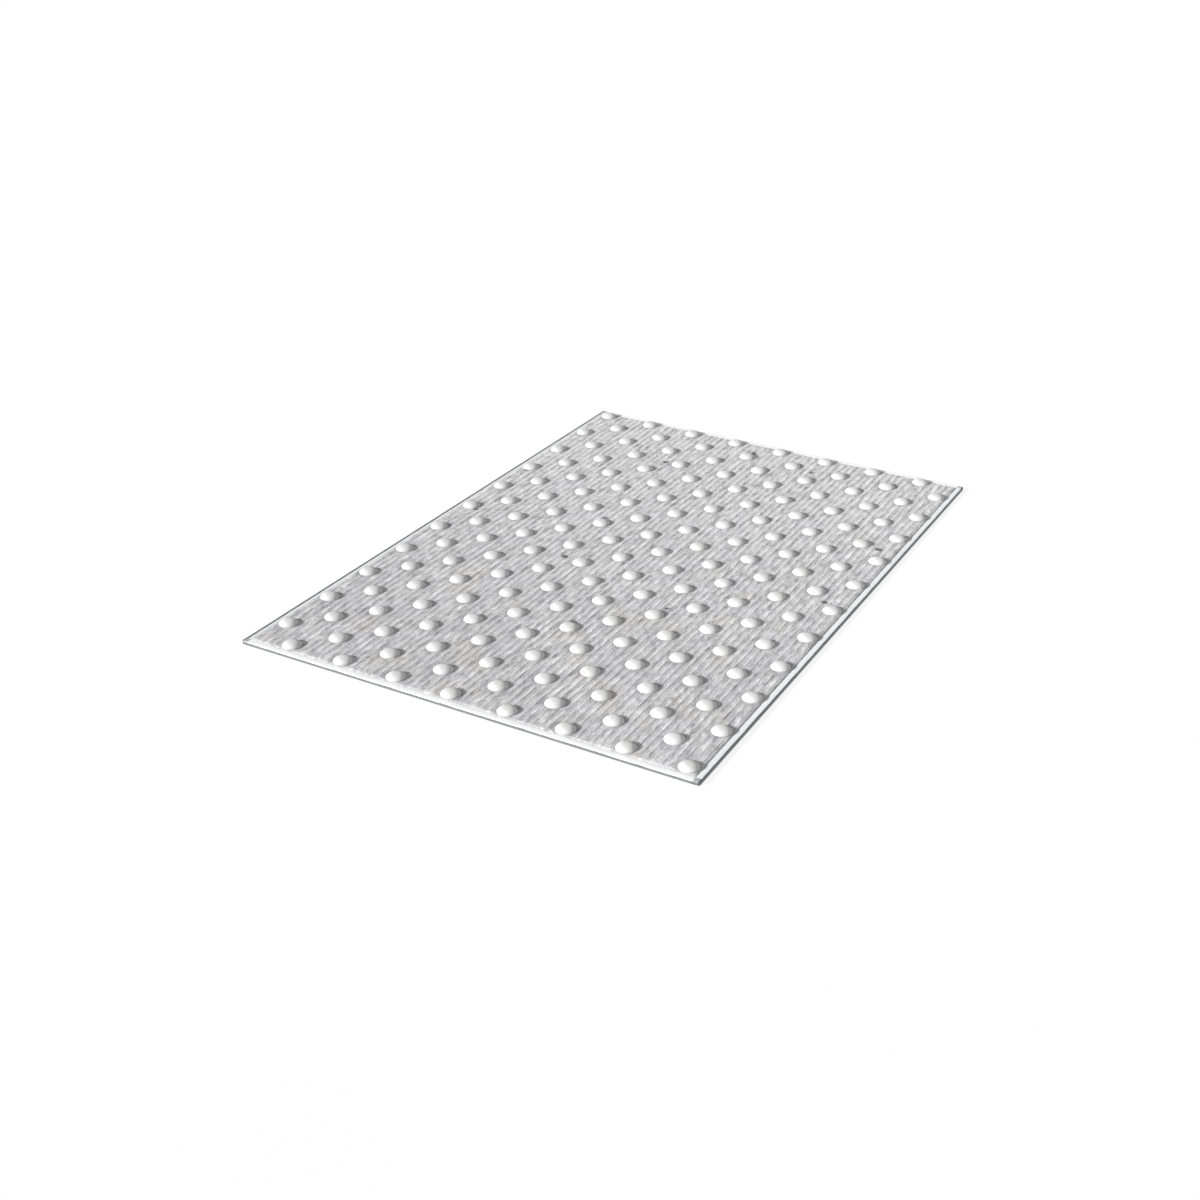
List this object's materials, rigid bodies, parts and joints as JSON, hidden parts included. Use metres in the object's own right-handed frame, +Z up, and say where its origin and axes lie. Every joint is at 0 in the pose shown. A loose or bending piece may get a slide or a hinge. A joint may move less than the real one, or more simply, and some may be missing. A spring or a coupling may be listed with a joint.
{
  "type": "tactile ground panel",
  "caption": "Flat rectangular ground panel with staggered raised domes on a finely ribbed tread, metal edging with moulded corners, and an adhesive-backed underside.",
  "frame": {"origin": "centre of the underside, on the ground", "axes": "+Z up out of the tread, +Y along the long side towards the far end, +X across the panel to the right"},
  "size_m": [0.6096, 0.9144, 0.0103],
  "materials": {
    "tread": "satin moulded, light grey",
    "board": "matte, mid grey",
    "edging": "satin anodised",
    "corner": "satin moulded, mid grey",
    "adhesive": "matte black"
  },
  "bodies": {
    "root": {"tread_sheet": "tread", "backing_board": "board", "edge_trim_near": "edging", "edge_trim_right": "edging", "edge_trim_far": "edging", "edge_trim_left": "edging", "corner_piece_near_left": "corner", "corner_piece_near_right": "corner", "corner_piece_far_right": "corner", "corner_piece_far_left": "corner", "adhesive_strip_1": "adhesive", "adhesive_strip_2": "adhesive", "adhesive_strip_3": "adhesive", "adhesive_strip_4": "adhesive", "adhesive_strip_5": "adhesive"}
  },
  "joints": []
}
